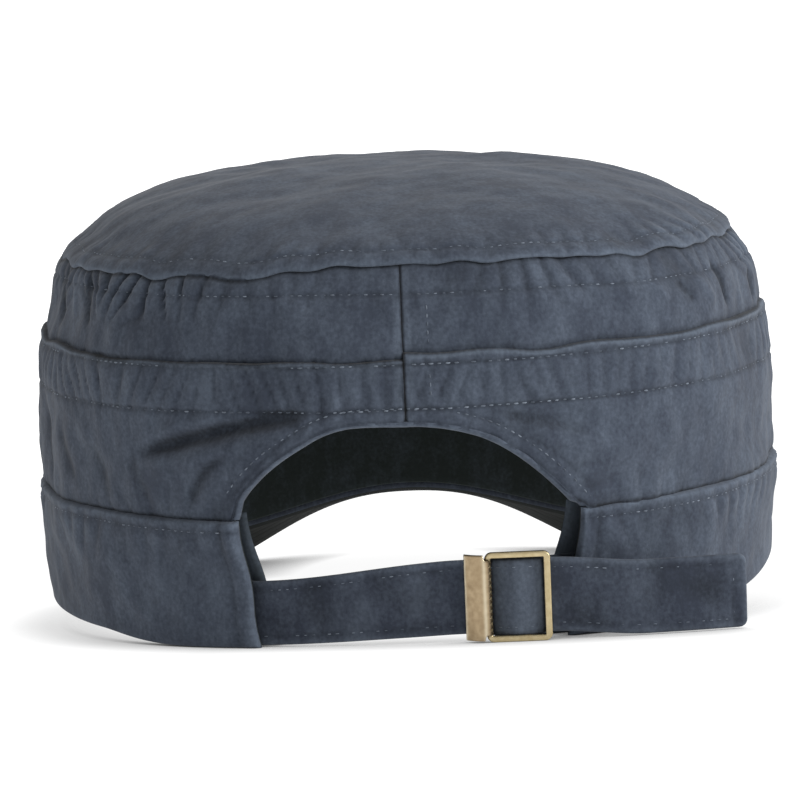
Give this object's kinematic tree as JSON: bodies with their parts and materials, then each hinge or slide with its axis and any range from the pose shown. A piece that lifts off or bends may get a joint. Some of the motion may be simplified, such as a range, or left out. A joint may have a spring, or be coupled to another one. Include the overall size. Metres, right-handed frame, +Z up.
{
  "type": "patrol cap",
  "caption": "Soft flat-topped cloth cap with a curved peak, a gathered side wall, an arched opening at the back and a strap held by a toothed brass clamp buckle.",
  "frame": {"origin": "middle of the outline's box, on the surface that the cap rests on", "axes": "+Z up off the surface, the peak points to -Y, the strap opening is at +Y, the wearer's left is +X"},
  "size_m": [0.1872, 0.2604, 0.1159],
  "materials": {
    "washed_cotton": "washed slate-blue cotton twill, matt, paler on its seams and edges",
    "inner_cotton": "dark plain cotton",
    "antique_brass": "antiqued pale brass, brushed, darker in its corners"
  },
  "bodies": {
    "cap": {"crown_top": "washed_cotton", "upper_wall_left": "washed_cotton", "upper_wall_right": "washed_cotton", "middle_band_left": "washed_cotton", "middle_band_right": "washed_cotton", "arch_facing": "washed_cotton", "bottom_band": "washed_cotton", "sweatband": "inner_cotton", "peak": "washed_cotton", "strap": "washed_cotton", "keeper": "washed_cotton", "buckle_frame": "antique_brass"},
    "lever": {"buckle_lever": "antique_brass"}
  },
  "joints": [
    {"name": "lever_hinge", "type": "hinge", "parent": "cap", "child": "lever", "pos_m": [-0.0176, 0.12558, 0.01066], "axis": [0, 0.0872, 0.9962], "range_deg": [0, 100]}
  ]
}
